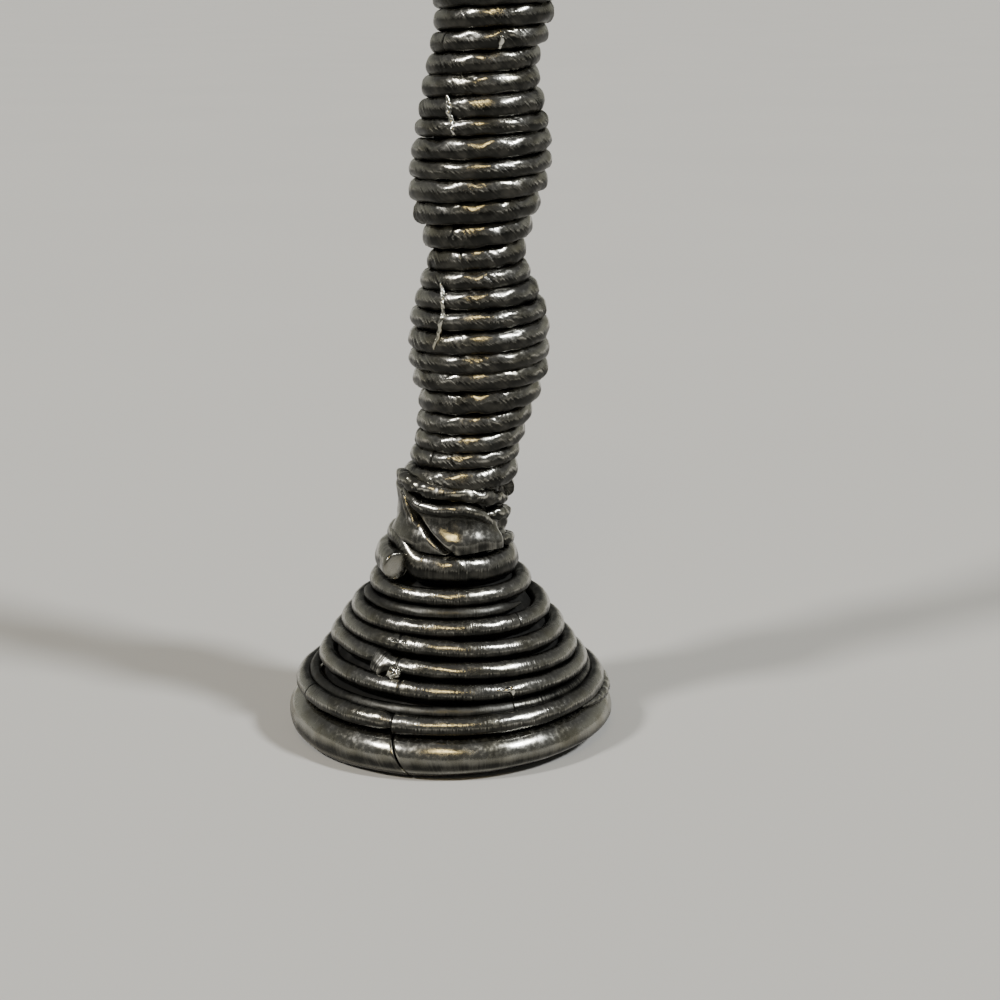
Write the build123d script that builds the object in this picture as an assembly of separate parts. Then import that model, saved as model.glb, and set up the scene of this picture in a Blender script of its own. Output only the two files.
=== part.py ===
from build123d import *

import math
import os

# Spiral candle holder: a turned core with round metal wire wound over it as a right-handed spiral.
# A thick foot ring carries a wound cone, a flat band wraps the neck, and the winding climbs a leaning,
# beaded stem to the cup that holds the candle. Millimetres, +Z up, origin under the foot ring's centre.
# Azimuths are degrees from the front (-Y), positive towards the right (+X).

# Wire and bar stock, as diameters
WIRE = 4.05
FILLER_WIRE = 2.6
FOOT_BAR = 10.0
SHOULDER_BAR = 6.8
RIM_BAR = 6.0

# Gaps and clearances
TURN_GAP = 0.5  # between neighbouring turns
JOINT_GAP = 0.3  # between two butted ends
CORE_CLEARANCE = 0.5  # between the winding and the core under it
SEAT_CLEARANCE = 0.2  # round pieces that sit in a recess
THREAD_CLEARANCE = 0.05  # between a screw's shank and its tapped hole
SCREW_TIP_ROOM = 1.0  # tapped depth left beyond a screw's tip

# Foot and base cone
FOOT_DIAMETER = 75.0
FOOT_FLAT = 0.5  # depth of the flat that the holder stands on
SEAM_AZIMUTH = -22.0  # butt joints of the rings
BASE_RING_SETBACK = 1.9  # base ring's outside, inside the foot's outside
BASE_COIL_START = 27.0  # azimuth where the winding starts, on the base ring
BASE_COIL_TURNS = 5.45
BASE_LEVEL_START = 5.0  # from this turn the base coil's climb eases off, to end level
WIDE_STEP_START = 4.25  # turns up the base coil where it steps over the upper filler
WIDE_STEP_TURNS = 0.4
FILLER_END_GAP = 2.0  # from a filler's end to the wire's end that it points at
UPPER_FILLER_TRIM = 0.03  # turns left free at each end of the wide step

# Shoulder turn
SHOULDER_RADIUS = 12.31  # of its centre line; the base cone runs up to it
SHOULDER_START = -45.0
SHOULDER_SWEEP = 340.0
SHOULDER_FLARE = 3.8  # how far the tail springs outwards
SHOULDER_FLARE_START = 0.72  # share of the sweep where the tail leaves the ring

# Neck band
BAND_HEIGHT = 12.2
BAND_THICKNESS = 2.3
BAND_SEAT_HEIGHT = 7.0  # collar of the core that the band is bent round
BAND_CROWN = 0.5  # bulge of the band's outside
BAND_LAP_AZIMUTH = -10.0
BAND_LAP_LEAN = 50.0  # slope of the lap, in degrees from upright

# Stem: height above its seat, outer radius of the winding, sideways lean
STEM_OUTLINE = [
    (0.0, 12.9, 0.3),
    (8.0, 12.9, 1.2),
    (14.0, 13.0, 2.5),
    (20.0, 12.2, 4.0),
    (27.0, 12.7, 5.4),
    (32.0, 13.5, 6.7),
    (37.0, 15.5, 6.7),
    (43.0, 15.9, 6.7),
    (50.0, 15.4, 6.9),
    (57.0, 13.3, 6.6),
    (64.5, 10.9, 6.3),
    (71.0, 13.2, 6.0),
    (78.0, 15.3, 6.5),
    (86.5, 15.4, 7.6),
    (96.0, 13.9, 7.7),
    (105.0, 12.3, 7.9),
    (111.0, 12.6, 9.4),
    (117.0, 13.2, 10.4),
    (126.0, 15.3, 11.0),
    (134.0, 14.4, 11.2),
    (142.5, 12.2, 11.2),
]
STEM_FRONT_TURN = 14.1  # height above the seat where the winding first crosses the front
STEM_COIL_START = 90.0  # azimuth of the stem winding's lower end
STEM_SEAM_AZIMUTH = -33.0  # butt joints of the stem winding
LOWER_JOINT_HEIGHT = 50.0  # above the seat
UPPER_JOINT_HEIGHT = 95.5
CUP_JOINT_HEIGHT = 142.5

# Candle cup
CANDLE_DIAMETER = 22.2
CANDLE_CLEARANCE = 0.2
CUP_DEPTH = 25.0
CUP_WALL = 1.0
CUP_FLOOR = 2.6
CUP_FLANGE = 1.2
CUP_CORE_WALL = 1.2  # core left round the cup at its floor
CUP_FLARE = 2.0  # how much wider the winding is at the rim than at the cup's floor
CUP_FLOOR_RISE = 14.5  # cup's underside, above the last neck of the stem

# Cores and fixings
CORE_FOOT_HEIGHT = 2.2  # underside of the base core
CORE_NECK_CLEARANCE = 0.4  # between the shoulder turn and the core's neck
TENON_DIAMETER = 9.0
TENON_LENGTH = 11.0
BASE_SCREW = 5.0
BASE_SCREW_LENGTH = 26.0
BASE_SCREW_TIP_DEPTH = 2.85  # its tip, below the stem's seat
BASE_SCREW_HEAD = 9.0
BASE_SCREW_HEAD_HEIGHT = 3.0
WASHER_DIAMETER = 10.5
WASHER_THICKNESS = 1.0
SCREW_HOLE_CLEARANCE = 0.25
CUP_SCREW = 4.0
CUP_SCREW_LENGTH = 13.0  # below the cup's underside
CUP_SCREW_HEAD = 7.4
FELT_THICKNESS = 1.4
FELT_MARGIN = 0.8  # felt inside the edge of the core's underside
DRIVE_SLOT = 1.0  # width and depth of the screws' slots

# Solder beads: radius, and how far a bead stands out from the line between two turns' centres
TACK_RADIUS = 1.6
TACK_STAND_OUT = 1.5
TACK_CLEARANCE = 0.05  # between a bead and the wires it joins
TACK_REACH = 0.1  # turns of wire, each way from a bead, that shape it
BASE_TACK_TURNS = [0.86, 2.84]
STEM_TACK_JOINTS = [(1, -1), (1, 0), (2, -1)]  # joint of the stem winding, and turns from it

PITCH = WIRE + TURN_GAP
SAMPLES_PER_TURN = 48
CUT_REACH = 1.0  # how far a cut or a fused end runs past the face it meets


def around(radius, turns, height, lean=0.0):
    """The point at a radius, an azimuth in turns from the front, and a height, about a leaning axis."""
    angle = 2 * math.pi * turns
    return Vector(lean + radius * math.sin(angle), -radius * math.cos(angle), height)


def smooth_step(share):
    """0 before 0, 1 after 1, with a smooth rise between them."""
    share = min(1.0, max(0.0, share))
    return share * share * (3 - 2 * share)


def biarc(start, start_direction, end, end_direction):
    """Two arcs that run from start to end, meet tangentially and leave and arrive in the given directions."""
    chord = end - start
    both = start_direction + end_direction
    square = 2 * (start_direction.dot(end_direction) - 1)
    cross = chord.dot(both)
    reach = (cross - math.sqrt(cross**2 - square * chord.dot(chord))) / square
    middle = (start + start_direction * reach + end - end_direction * reach) * 0.5
    first = Edge.make_tangent_arc(start, start_direction, middle)
    return [first, Edge.make_tangent_arc(middle, first % 1, end)]


def wound_wire(place, start, end, diameter):
    """One unbroken round wire along place(turns), swept on biarcs of a quarter turn."""
    count = math.ceil((end - start) * 4)
    step = (end - start) / count
    tiny = 1e-4
    points = [place(start + step * i) for i in range(count + 1)]
    directions = []
    for i in range(count + 1):
        turn = start + step * i
        directions.append((place(turn + tiny) - place(turn - tiny)).normalized())
    arcs = []
    for i in range(count):
        arcs += biarc(points[i], directions[i], points[i + 1], directions[i + 1])
    section = Plane(points[0], z_dir=directions[0]) * Circle(diameter / 2)
    return sweep(section, Wire(arcs))


def least_gap(place, start, end, diameter):
    """The smallest gap between a winding and its own next turn, measured on points of its centre line."""
    count = int((end - start) * SAMPLES_PER_TURN)
    points = [place(start + i / SAMPLES_PER_TURN) for i in range(count + 1)]
    gaps = [
        (points[j] - points[i]).length - diameter
        for i in range(count + 1)
        for j in range(i + SAMPLES_PER_TURN // 2, min(count + 1, i + SAMPLES_PER_TURN * 3 // 2))
    ]
    return min(gaps)


def butted_ring(radius, height, bar, azimuth, lean=0.0):
    """A bar bent round to a ring, with the slit of its butt joint at the azimuth."""
    slit = math.degrees(JOINT_GAP / radius)
    section = Plane.XZ * Pos(radius, height) * Circle(bar / 2)
    ring = revolve(section, Axis.Z, 360 - slit)
    return Pos(lean, 0, 0) * Rot(0, 0, azimuth - 90 + slit / 2) * ring


# Foot ring: cut flat below, so that it stands
FOOT_RADIUS = (FOOT_DIAMETER - FOOT_BAR) / 2
FOOT_HEIGHT = FOOT_BAR / 2 - FOOT_FLAT


def make_foot_ring():
    ring = butted_ring(FOOT_RADIUS, FOOT_HEIGHT, FOOT_BAR, SEAM_AZIMUTH)
    below = Pos(0, 0, -FOOT_BAR / 2) * Cylinder(FOOT_DIAMETER, FOOT_BAR)
    return ring - below


# Base ring: rests on the foot ring, set back from its outside
BASE_RING_RADIUS = (FOOT_DIAMETER - WIRE) / 2 - BASE_RING_SETBACK
FOOT_TO_BASE_RING = FOOT_BAR / 2 + TURN_GAP + WIRE / 2
BASE_RING_HEIGHT = FOOT_HEIGHT + math.sqrt(FOOT_TO_BASE_RING**2 - (BASE_RING_RADIUS - FOOT_RADIUS) ** 2)


def make_base_ring():
    return butted_ring(BASE_RING_RADIUS, BASE_RING_HEIGHT, WIRE, SEAM_AZIMUTH)


# Base coil: every turn lies on one cone, so a place on it is a distance up the cone's slope
def base_rise(turns):
    """Distance up the slope: a pitch each turn, a wide step over the upper filler, and a level end."""
    past = max(0.0, turns - BASE_LEVEL_START)
    climbed = 1 + turns - past**2 / (2 * (BASE_COIL_TURNS - BASE_LEVEL_START))
    wide = smooth_step((turns - WIDE_STEP_START) / WIDE_STEP_TURNS)
    return PITCH * climbed + (FILLER_WIRE + TURN_GAP) * wide


# The cone's slope is set by its two ends: the base ring below, and the shoulder turn above
SHOULDER_SLOPE = base_rise(BASE_COIL_TURNS) + (WIRE + SHOULDER_BAR) / 2 + TURN_GAP
SLOPE_IN = (BASE_RING_RADIUS - SHOULDER_RADIUS) / SHOULDER_SLOPE
SLOPE_UP = math.sqrt(1 - SLOPE_IN**2)
BASE_START_TURN = BASE_COIL_START / 360


def on_cone(slope, turns):
    radius = BASE_RING_RADIUS - slope * SLOPE_IN
    return around(radius, BASE_START_TURN + turns, BASE_RING_HEIGHT + slope * SLOPE_UP)


def base_place(turns):
    return on_cone(base_rise(turns), turns)


def make_base_coil():
    return wound_wire(base_place, 0, BASE_COIL_TURNS, WIRE)


# Fillers: thin wire on the base ring, and on the turn below the wide step
FILLER_OFFSET = (WIRE + FILLER_WIRE) / 2 + TURN_GAP
FILLER_TURN = (FILLER_WIRE + TURN_GAP) / PITCH  # share of a turn after which the wedge takes the filler


def make_lower_filler():
    end = 1 - FILLER_END_GAP / (2 * math.pi * BASE_RING_RADIUS)
    return wound_wire(lambda turns: on_cone(FILLER_OFFSET, turns), FILLER_TURN, end, FILLER_WIRE)


def make_upper_filler():
    def place(turns):
        return on_cone(base_rise(turns) + FILLER_OFFSET, turns)

    start = WIDE_STEP_START + WIDE_STEP_TURNS - 1 + UPPER_FILLER_TRIM
    return wound_wire(place, start, WIDE_STEP_START - UPPER_FILLER_TRIM, FILLER_WIRE)


# Shoulder turn: rests on the last turn of the base coil, and its tail springs outwards
SHOULDER_HEIGHT = BASE_RING_HEIGHT + SHOULDER_SLOPE * SLOPE_UP
STEM_SEAT = SHOULDER_HEIGHT + SHOULDER_BAR / 2


def make_shoulder_turn():
    def place(turns):
        share = turns * 360 / SHOULDER_SWEEP
        flare = SHOULDER_FLARE * smooth_step((share - SHOULDER_FLARE_START) / (1 - SHOULDER_FLARE_START))
        return around(SHOULDER_RADIUS + flare, SHOULDER_START / 360 + turns, SHOULDER_HEIGHT)

    return wound_wire(place, 0, SHOULDER_SWEEP / 360, SHOULDER_BAR)


# Candle cup sizes, which the top of the winding follows
CUP_BORE = CANDLE_DIAMETER / 2 + CANDLE_CLEARANCE
CUP_OUTER = CUP_BORE + CUP_WALL
CUP_WINDING = CUP_OUTER + SEAT_CLEARANCE + CUP_CORE_WALL + CORE_CLEARANCE + WIRE
NECK_HEIGHT, NECK_RADIUS, TOP_LEAN = STEM_OUTLINE[-1]
CUP_FLOOR_HEIGHT = NECK_HEIGHT + CUP_FLOOR_RISE
CORE_TOP = STEM_SEAT + CUP_FLOOR_HEIGHT + CUP_FLOOR + CUP_DEPTH - CUP_FLANGE
SWELL_HEIGHT = (NECK_HEIGHT + CUP_FLOOR_HEIGHT) / 2
SWELL_RADIUS = (NECK_RADIUS + CUP_WINDING) / 2
CUP_OUTLINE = [
    (SWELL_HEIGHT, SWELL_RADIUS, TOP_LEAN),
    (CUP_FLOOR_HEIGHT, CUP_WINDING, TOP_LEAN),
    (CORE_TOP - STEM_SEAT, CUP_WINDING + CUP_FLARE, TOP_LEAN),
]
OUTLINE = STEM_OUTLINE + CUP_OUTLINE


def outline_slope(index, column):
    """The outline's slope at a station, across its two neighbours."""
    before = OUTLINE[max(0, index - 1)]
    after = OUTLINE[min(len(OUTLINE) - 1, index + 1)]
    return (after[column] - before[column]) / (after[0] - before[0])


def outline_at(height):
    """Outer radius and lean of the winding at a height above the seat, on a cubic through the stations."""
    height = min(max(height, OUTLINE[0][0]), OUTLINE[-1][0])
    index = max(i for i in range(len(OUTLINE) - 1) if OUTLINE[i][0] <= height)
    low, high = OUTLINE[index], OUTLINE[index + 1]
    span = high[0] - low[0]
    share = (height - low[0]) / span
    values = []
    for column in (1, 2):
        blend = smooth_step(share)
        leave = outline_slope(index, column) * span * share * (1 - share) ** 2
        arrive = outline_slope(index + 1, column) * span * share**2 * (1 - share)
        values.append(low[column] * (1 - blend) + high[column] * blend + leave - arrive)
    return values


# Stem winding: whole turns cross the front
def stem_height(turns):
    return STEM_FRONT_TURN + PITCH * turns


def stem_place(turns):
    height = stem_height(turns)
    radius, lean = outline_at(height)
    return around(radius - WIRE / 2, turns, STEM_SEAT + height, lean)


def stem_joint(height):
    """The turn where the winding passes the stem's seam nearest to a height above the seat."""
    seam = STEM_SEAM_AZIMUTH / 360
    return round((height - STEM_FRONT_TURN) / PITCH - seam) + seam


RIM_RADIUS = CUP_WINDING + CUP_FLARE - RIM_BAR / 2
RIM_HEIGHT = CORE_TOP
WINDING_TOP = RIM_HEIGHT - RIM_BAR / 2 - TURN_GAP - WIRE / 2 - STEM_SEAT
STEM_TURNS = [
    STEM_COIL_START / 360 - 1,
    stem_joint(LOWER_JOINT_HEIGHT),
    stem_joint(UPPER_JOINT_HEIGHT),
    stem_joint(CUP_JOINT_HEIGHT),
    (WINDING_TOP - STEM_FRONT_TURN) / PITCH,
]
COIL_NAMES = ["stem_coil_lower", "stem_coil_middle", "stem_coil_upper", "cup_coil"]


def stem_span(index):
    """Start and end turn of one length of the stem winding, less half a joint's gap at each butted end."""
    half = JOINT_GAP / 2 / (2 * math.pi * (NECK_RADIUS - WIRE / 2))
    start, end = STEM_TURNS[index], STEM_TURNS[index + 1]
    return (start + half if index else start), (end - half if index < len(COIL_NAMES) - 1 else end)


def make_stem_coil(index):
    return wound_wire(stem_place, *stem_span(index), WIRE)


# Neck band: a flat strip bent round the core, its lap slanting and its top edge cut to the winding above
BAND_OUTER = STEM_OUTLINE[0][1]
BAND_INNER = BAND_OUTER - BAND_THICKNESS
BAND_LEAN = outline_at(BAND_SEAT_HEIGHT / 2)[1]
BAND_ROOM_TURNS = 1.25  # first turns of the winding, which the band makes room for


def make_neck_band():
    low = STEM_SEAT + TURN_GAP
    high = low + BAND_HEIGHT
    middle = (low + high) / 2
    edge = BAND_OUTER - BAND_CROWN
    crown = ThreePointArc((edge, low), (BAND_OUTER, middle), (edge, high))
    sides = Polyline((edge, high), (BAND_INNER, high), (BAND_INNER, low), (edge, low))
    section = make_face(crown + sides)
    section = fillet(section.vertices(), (BAND_THICKNESS - BAND_CROWN) / 3)
    band = revolve(Plane.XZ * section, Axis.Z, 360)
    slit = Box(JOINT_GAP, BAND_OUTER * 2, BAND_HEIGHT * 4)
    band -= Rot(0, 0, BAND_LAP_AZIMUTH) * Pos(0, -BAND_OUTER, middle) * Rot(0, BAND_LAP_LEAN, 0) * slit
    start = STEM_TURNS[0] - TURN_GAP / (2 * math.pi * BAND_INNER)
    room = wound_wire(stem_place, start, start + BAND_ROOM_TURNS, WIRE + 2 * TURN_GAP)
    return Pos(BAND_LEAN, 0, 0) * band - room


# Base core: a turned cone that sits in the foot ring and carries the base winding
CORE_OFFSET = WIRE / 2 + CORE_CLEARANCE
CORE_NECK_RADIUS = SHOULDER_RADIUS - SHOULDER_BAR / 2 - CORE_NECK_CLEARANCE
SCREW_HEAD_SEAT = STEM_SEAT - BASE_SCREW_TIP_DEPTH - BASE_SCREW_LENGTH
WASHER_SEAT = SCREW_HEAD_SEAT + WASHER_THICKNESS
COUNTERBORE_DEPTH = WASHER_SEAT - CORE_FOOT_HEIGHT
SCREW_HOLE_RADIUS = BASE_SCREW / 2 + SCREW_HOLE_CLEARANCE


def core_point(slope):
    return (
        BASE_RING_RADIUS - CORE_OFFSET * SLOPE_UP - slope * SLOPE_IN,
        BASE_RING_HEIGHT - CORE_OFFSET * SLOPE_IN + slope * SLOPE_UP,
    )


def make_base_core():
    cone_foot = core_point(0)
    cone_top = core_point(SHOULDER_SLOPE - SHOULDER_BAR / 2 - WIRE / 2)
    outline = Polyline(
        (0, CORE_FOOT_HEIGHT),
        (cone_foot[0], CORE_FOOT_HEIGHT),
        cone_foot,
        cone_top,
        (CORE_NECK_RADIUS, SHOULDER_HEIGHT - SHOULDER_BAR / 2),
        (CORE_NECK_RADIUS, STEM_SEAT),
        (0, STEM_SEAT),
        close=True,
    )
    core = revolve(Plane.XZ * make_face(outline), Axis.Z, 360)
    core -= Pos(0, 0, FOOT_HEIGHT) * Torus(FOOT_RADIUS, FOOT_BAR / 2 + SEAT_CLEARANCE)
    upright = (Align.CENTER, Align.CENTER, Align.MIN)
    counterbore = Cylinder(WASHER_DIAMETER / 2 + SEAT_CLEARANCE, COUNTERBORE_DEPTH, align=upright)
    core -= Pos(0, 0, CORE_FOOT_HEIGHT) * counterbore
    core -= Pos(0, 0, CORE_FOOT_HEIGHT) * Cylinder(SCREW_HOLE_RADIUS, STEM_SEAT, align=upright)
    socket_depth = TENON_LENGTH + SEAT_CLEARANCE
    socket = Cylinder(TENON_DIAMETER / 2 + SEAT_CLEARANCE, socket_depth + CUT_REACH, align=upright)
    return core - Pos(0, 0, STEM_SEAT - socket_depth) * socket


# Stem core: follows the inside of the winding, with a tenon below and the cup's recess above
CORE_SECTION_STEP = 4.5
CUP_FLOOR_BASE = STEM_SEAT + CUP_FLOOR_HEIGHT


def make_stem_core():
    upright = (Align.CENTER, Align.CENTER, Align.MIN)
    top = CORE_TOP - STEM_SEAT
    count = round(top / CORE_SECTION_STEP)
    sections = []
    for i in range(count + 1):
        height = top * i / count
        radius, lean = outline_at(height)
        sections.append(Pos(lean, 0, STEM_SEAT + height) * Circle(radius - WIRE - CORE_CLEARANCE))
    core = loft(sections)
    collar = Cylinder(BAND_INNER - SEAT_CLEARANCE, BAND_SEAT_HEIGHT, align=upright)
    core += Pos(BAND_LEAN, 0, STEM_SEAT) * collar
    tenon = Cylinder(TENON_DIAMETER / 2, TENON_LENGTH + CUT_REACH, align=upright)
    core += Pos(0, 0, STEM_SEAT - TENON_LENGTH) * tenon
    tapped = Cylinder(BASE_SCREW / 2 + THREAD_CLEARANCE, BASE_SCREW_LENGTH + SCREW_TIP_ROOM, align=upright)
    core -= Pos(0, 0, SCREW_HEAD_SEAT) * tapped
    recess = Cylinder(CUP_OUTER + SEAT_CLEARANCE, CUP_DEPTH + CUP_FLOOR, align=upright)
    core -= Pos(TOP_LEAN, 0, CUP_FLOOR_BASE) * recess
    core -= Pos(TOP_LEAN, 0, RIM_HEIGHT) * Torus(RIM_RADIUS, RIM_BAR / 2 + SEAT_CLEARANCE)
    hole_depth = CUP_SCREW_LENGTH + SCREW_TIP_ROOM
    cup_hole = Cylinder(CUP_SCREW / 2 + THREAD_CLEARANCE, hole_depth + CUT_REACH, align=upright)
    return core - Pos(TOP_LEAN, 0, CUP_FLOOR_BASE - hole_depth) * cup_hole


# Candle cup: a spun cup whose flange lies on the core's top, inside the rim ring
def make_candle_cup():
    flange = RIM_RADIUS - RIM_BAR / 2 - SEAT_CLEARANCE
    floor = CUP_FLOOR_BASE
    outline = Polyline(
        (0, floor),
        (CUP_OUTER, floor),
        (CUP_OUTER, CORE_TOP),
        (flange, CORE_TOP),
        (flange, CORE_TOP + CUP_FLANGE),
        (CUP_BORE, CORE_TOP + CUP_FLANGE),
        (CUP_BORE, floor + CUP_FLOOR),
        (0, floor + CUP_FLOOR),
        close=True,
    )
    cup = revolve(Plane.XZ * make_face(outline), Axis.Z, 360)
    cup -= Pos(0, 0, floor) * cup_screw_shape(SCREW_HOLE_CLEARANCE)
    return Pos(TOP_LEAN, 0, 0) * cup


# Fixings: a countersunk screw holds the cup, and a pan-head screw with its washer pulls the base to the stem
def cup_screw_shape(clearance):
    """The cup screw's outline about its own axis, from the cup's underside, grown by a clearance."""
    head, shank = CUP_SCREW_HEAD / 2 + clearance, CUP_SCREW / 2 + clearance
    cone_foot = CUP_FLOOR - (CUP_SCREW_HEAD - CUP_SCREW) / 2
    outline = Polyline(
        (0, -CUP_SCREW_LENGTH),
        (shank, -CUP_SCREW_LENGTH),
        (shank, cone_foot),
        (head, CUP_FLOOR),
        (0, CUP_FLOOR),
        close=True,
    )
    return revolve(Plane.XZ * make_face(outline), Axis.Z, 360)


def drive_slot(width, top):
    return Pos(0, 0, top) * Box(width * 2, DRIVE_SLOT, DRIVE_SLOT * 2)


def make_cup_screw():
    screw = cup_screw_shape(0) - drive_slot(CUP_SCREW_HEAD, CUP_FLOOR)
    return Pos(TOP_LEAN, 0, CUP_FLOOR_BASE) * screw


def make_base_washer():
    washer = Cylinder(WASHER_DIAMETER / 2, WASHER_THICKNESS) - Cylinder(SCREW_HOLE_RADIUS, WASHER_THICKNESS)
    return Pos(0, 0, WASHER_SEAT - WASHER_THICKNESS / 2) * washer


def make_base_screw():
    head_foot = SCREW_HEAD_SEAT - BASE_SCREW_HEAD_HEIGHT
    upright = (Align.CENTER, Align.CENTER, Align.MIN)
    head = Pos(0, 0, head_foot) * Cylinder(BASE_SCREW_HEAD / 2, BASE_SCREW_HEAD_HEIGHT, align=upright)
    shank = Pos(0, 0, SCREW_HEAD_SEAT) * Cylinder(BASE_SCREW / 2, BASE_SCREW_LENGTH, align=upright)
    return head + shank - drive_slot(BASE_SCREW_HEAD, head_foot)


def make_felt_pad():
    ring_reach = (FOOT_BAR / 2 + SEAT_CLEARANCE) ** 2 - (FOOT_HEIGHT - CORE_FOOT_HEIGHT) ** 2
    radius = FOOT_RADIUS - math.sqrt(ring_reach) - FELT_MARGIN
    return Pos(0, 0, CORE_FOOT_HEIGHT - FELT_THICKNESS / 2) * Cylinder(radius, FELT_THICKNESS)


# Rim ring: ends the winding, round the cup's flange
def make_rim_ring():
    return butted_ring(RIM_RADIUS, RIM_HEIGHT, RIM_BAR, SEAM_AZIMUTH, TOP_LEAN)


# Rim filler: thin wire in the wedge between the rim ring and the last turn
def make_rim_filler():
    height = WINDING_TOP + (WIRE - FILLER_WIRE) / 2
    radius = outline_at(height)[0] - FILLER_WIRE / 2
    start = STEM_TURNS[-1] + FILLER_END_GAP / (2 * math.pi * radius)
    end = STEM_TURNS[-1] + 1 - FILLER_TURN

    def place(turns):
        return around(radius, turns, STEM_SEAT + height, TOP_LEAN)

    return wound_wire(place, start, end, FILLER_WIRE)


# Solder beads: each fills the groove between two turns, and is cut to the wires that it joins
def solder_bead(place, turns):
    between = (place(turns) + place(turns + 1)) * 0.5
    outwards = (between - place(turns + 0.5)).normalized()
    bead = Pos(between + outwards * TACK_STAND_OUT) * Sphere(TACK_RADIUS)
    for turn in (turns, turns + 1):
        bead -= wound_wire(place, turn - TACK_REACH, turn + TACK_REACH, WIRE + 2 * TACK_CLEARANCE)
    return max(bead.solids(), key=lambda solid: solid.volume)


def main():
    pieces = {
        "foot_ring": make_foot_ring(),
        "base_ring": make_base_ring(),
        "base_coil": make_base_coil(),
        "lower_filler": make_lower_filler(),
        "upper_filler": make_upper_filler(),
        "shoulder_turn": make_shoulder_turn(),
        "neck_band": make_neck_band(),
        "rim_ring": make_rim_ring(),
        "rim_filler": make_rim_filler(),
        "base_core": make_base_core(),
        "stem_core": make_stem_core(),
        "candle_cup": make_candle_cup(),
        "cup_screw": make_cup_screw(),
        "base_screw": make_base_screw(),
        "base_washer": make_base_washer(),
        "felt_pad": make_felt_pad(),
    }
    for index, name in enumerate(COIL_NAMES):
        pieces[name] = make_stem_coil(index)
        print(name, "least gap", round(least_gap(stem_place, *stem_span(index), WIRE), 3))
    print("base_coil least gap", round(least_gap(base_place, 0, BASE_COIL_TURNS, WIRE), 3))
    stem_tack_turns = [STEM_TURNS[joint] + offset for joint, offset in STEM_TACK_JOINTS]
    pieces["base_tacks"] = Compound([solder_bead(base_place, turns) for turns in BASE_TACK_TURNS])
    pieces["stem_tacks"] = Compound([solder_bead(stem_place, turns) for turns in stem_tack_turns])
    print("candle bore at x", TOP_LEAN, "from z", round(CUP_FLOOR_BASE + CUP_FLOOR, 3), "radius", CUP_BORE)

    os.makedirs("parts", exist_ok=True)
    for name, piece in pieces.items():
        export_step(piece, os.path.join("parts", name + ".step"))


main()
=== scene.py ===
import math

import bpy
import numpy as np
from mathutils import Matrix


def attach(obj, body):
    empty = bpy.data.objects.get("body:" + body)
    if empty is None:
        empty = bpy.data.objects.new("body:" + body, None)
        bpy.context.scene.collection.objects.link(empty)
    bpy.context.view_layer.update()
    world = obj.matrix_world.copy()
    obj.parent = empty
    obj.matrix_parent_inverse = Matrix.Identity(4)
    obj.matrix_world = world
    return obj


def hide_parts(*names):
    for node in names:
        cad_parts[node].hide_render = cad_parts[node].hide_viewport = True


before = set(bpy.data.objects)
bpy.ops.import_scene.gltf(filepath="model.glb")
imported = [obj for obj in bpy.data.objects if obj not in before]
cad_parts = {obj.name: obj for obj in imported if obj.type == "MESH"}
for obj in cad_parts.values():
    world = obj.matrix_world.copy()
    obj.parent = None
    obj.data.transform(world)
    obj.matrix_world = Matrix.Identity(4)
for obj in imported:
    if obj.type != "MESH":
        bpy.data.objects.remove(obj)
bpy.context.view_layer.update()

# The camera
# It stands a little above the middle of the stem and looks down at the foot, as the photograph does.
# The foot and most of the stem are in view, and the cup is above the picture's edge.
EYE = (0.01145, -0.4273, 0.1699)
LOOK_DOWN = 15.25  # degrees below level
LENS = 70.2  # on a film 36 wide

camera = bpy.data.objects.new("camera", bpy.data.cameras.new("camera"))
camera.data.lens = LENS
camera.data.clip_start = 0.01
camera.location = EYE
camera.rotation_euler = (math.radians(90 - LOOK_DOWN), 0, 0)
bpy.context.scene.collection.objects.link(camera)
bpy.context.scene.camera = camera


# The cores
# A turned cone for the base and a leaning, beaded length for the stem, pinned into it, carry the winding.
# They are blackened all over, so the grooves between the turns look bottomless.
class Tone:
    """An output socket in a finish's node tree. Sums on tones add Math nodes."""

    def __init__(self, tree, socket=None):
        self.tree = tree
        self.socket = socket

    def node(self, kind, settings=(), inputs=(), output=0):
        """Adds a node: its settings first, then its sockets' values or links, and gives one output."""
        made = self.tree.nodes.new(kind)
        for name, value in dict(settings).items():
            setattr(made, name, value)
        for key, value in dict(inputs).items():
            if isinstance(value, Tone):
                self.tree.links.new(value.socket, made.inputs[key])
            else:
                made.inputs[key].default_value = value
        return Tone(self.tree, made.outputs[output] if len(made.outputs) else None)

    def sum(self, operation, first, second):
        return self.node("ShaderNodeMath", {"operation": operation}, {0: first, 1: second})

    def __add__(self, other):
        return self.sum("ADD", self, other)

    __radd__ = __add__

    def __sub__(self, other):
        return self.sum("SUBTRACT", self, other)

    def __rsub__(self, other):
        return self.sum("SUBTRACT", other, self)

    def __mul__(self, other):
        return self.sum("MULTIPLY", self, other)

    __rmul__ = __mul__

    def between(self, low, high, at_low=0.0, at_high=1.0):
        """A smooth rise from at_low to at_high while this tone goes from low to high."""
        return self.node(
            "ShaderNodeMapRange",
            {"interpolation_type": "SMOOTHSTEP"},
            {"Value": self, "From Min": low, "From Max": high, "To Min": at_low, "To Max": at_high},
        )

    def colours(self, first, second):
        """A colour from first, at 0, to second, at 1."""
        return self.node(
            "ShaderNodeMix", {"data_type": "RGBA"}, {0: self, 6: first, 7: second}, output=2
        )


def new_finish(name):
    """An empty finish, and the tone that starts its node tree."""
    material = bpy.data.materials.new(name)
    material.use_nodes = True
    material.node_tree.nodes.clear()
    return material, Tone(material.node_tree)


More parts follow.
